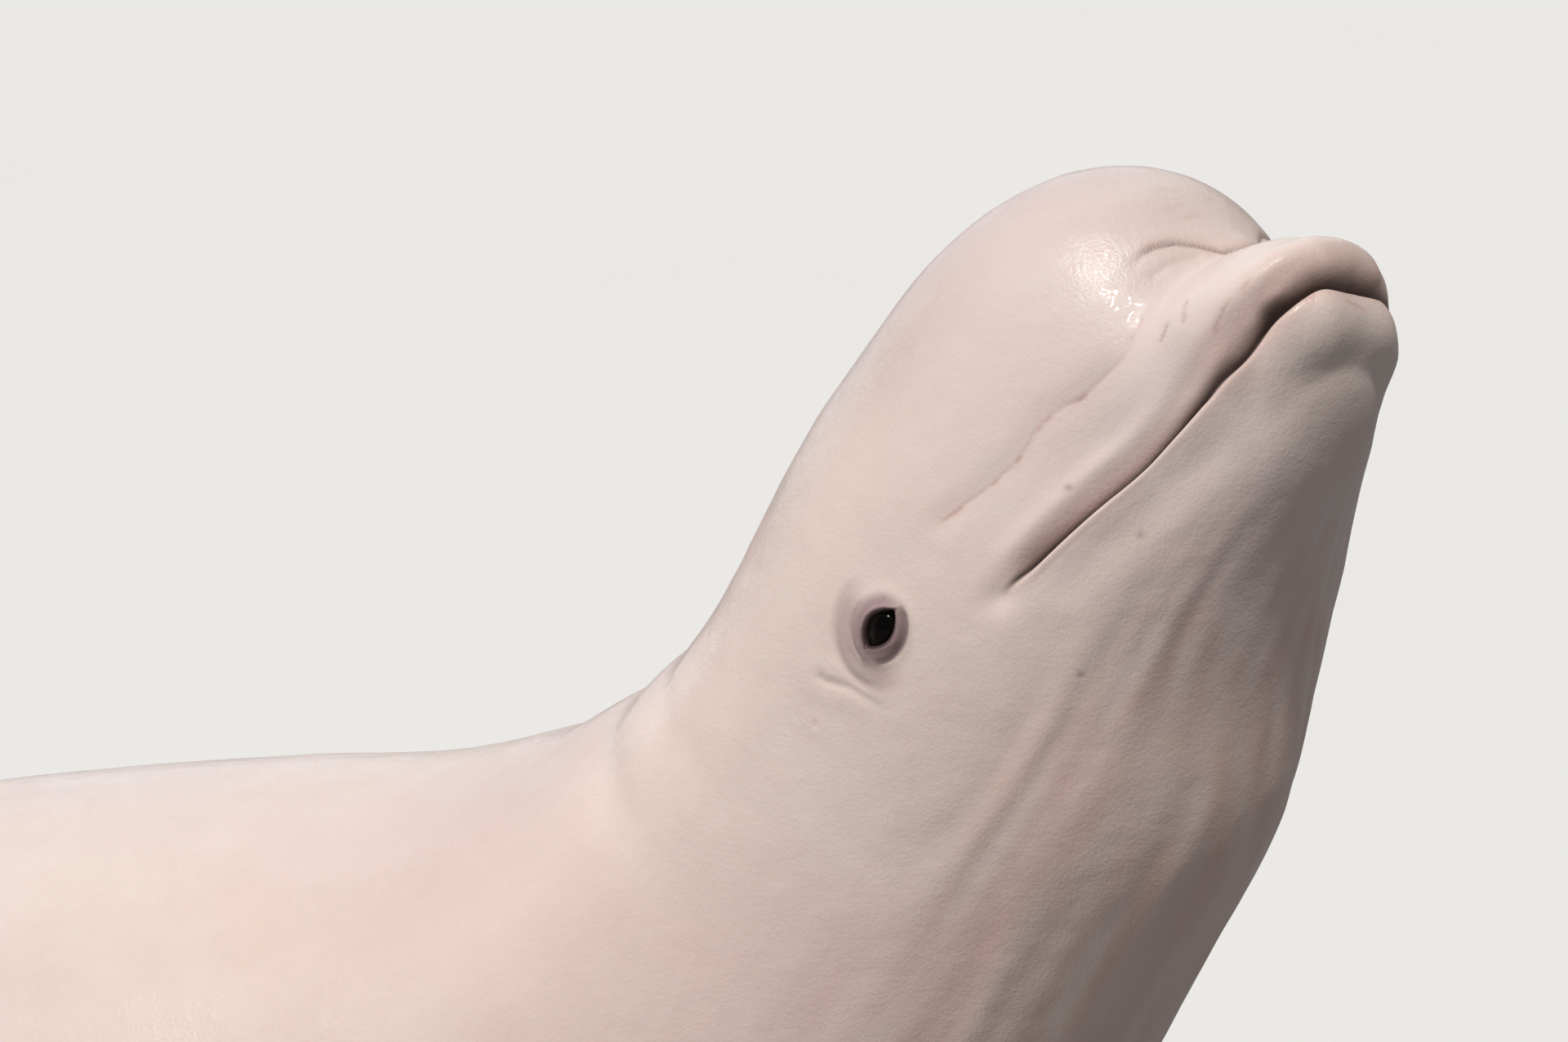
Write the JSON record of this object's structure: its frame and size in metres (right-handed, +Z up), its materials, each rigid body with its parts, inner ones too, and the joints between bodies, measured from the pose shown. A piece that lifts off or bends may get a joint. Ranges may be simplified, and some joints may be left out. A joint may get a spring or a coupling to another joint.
{
  "type": "beluga whale",
  "caption": "Life-size white whale with a domed forehead, raised head, paddle flippers, low back ridge and tail flukes, held on a flat display stand.",
  "frame": {"origin": "centre of the stand base's underside, on the floor", "axes": "+X towards the head along the body, +Y to the whale's left, +Z up"},
  "size_m": [3.5279, 1.1624, 1.6864],
  "materials": {
    "skin": "smooth damp skin, satin",
    "eye": "wet gloss",
    "stand_base": "dark grey satin paint",
    "stand_rod": "brushed"
  },
  "bodies": {
    "root": {"head": "skin", "melon": "skin", "lower_jaw": "skin", "neck": "skin", "torso_front": "skin", "torso_rear": "skin", "tail_stock": "skin", "flipper_left": "skin", "flipper_right": "skin", "fluke_left": "skin", "fluke_right": "skin", "dorsal_ridge": "skin", "eye_left": "eye", "eye_right": "eye", "stand_base": "stand_base", "stand_rod_front": "stand_rod", "stand_rod_rear": "stand_rod"}
  },
  "joints": []
}
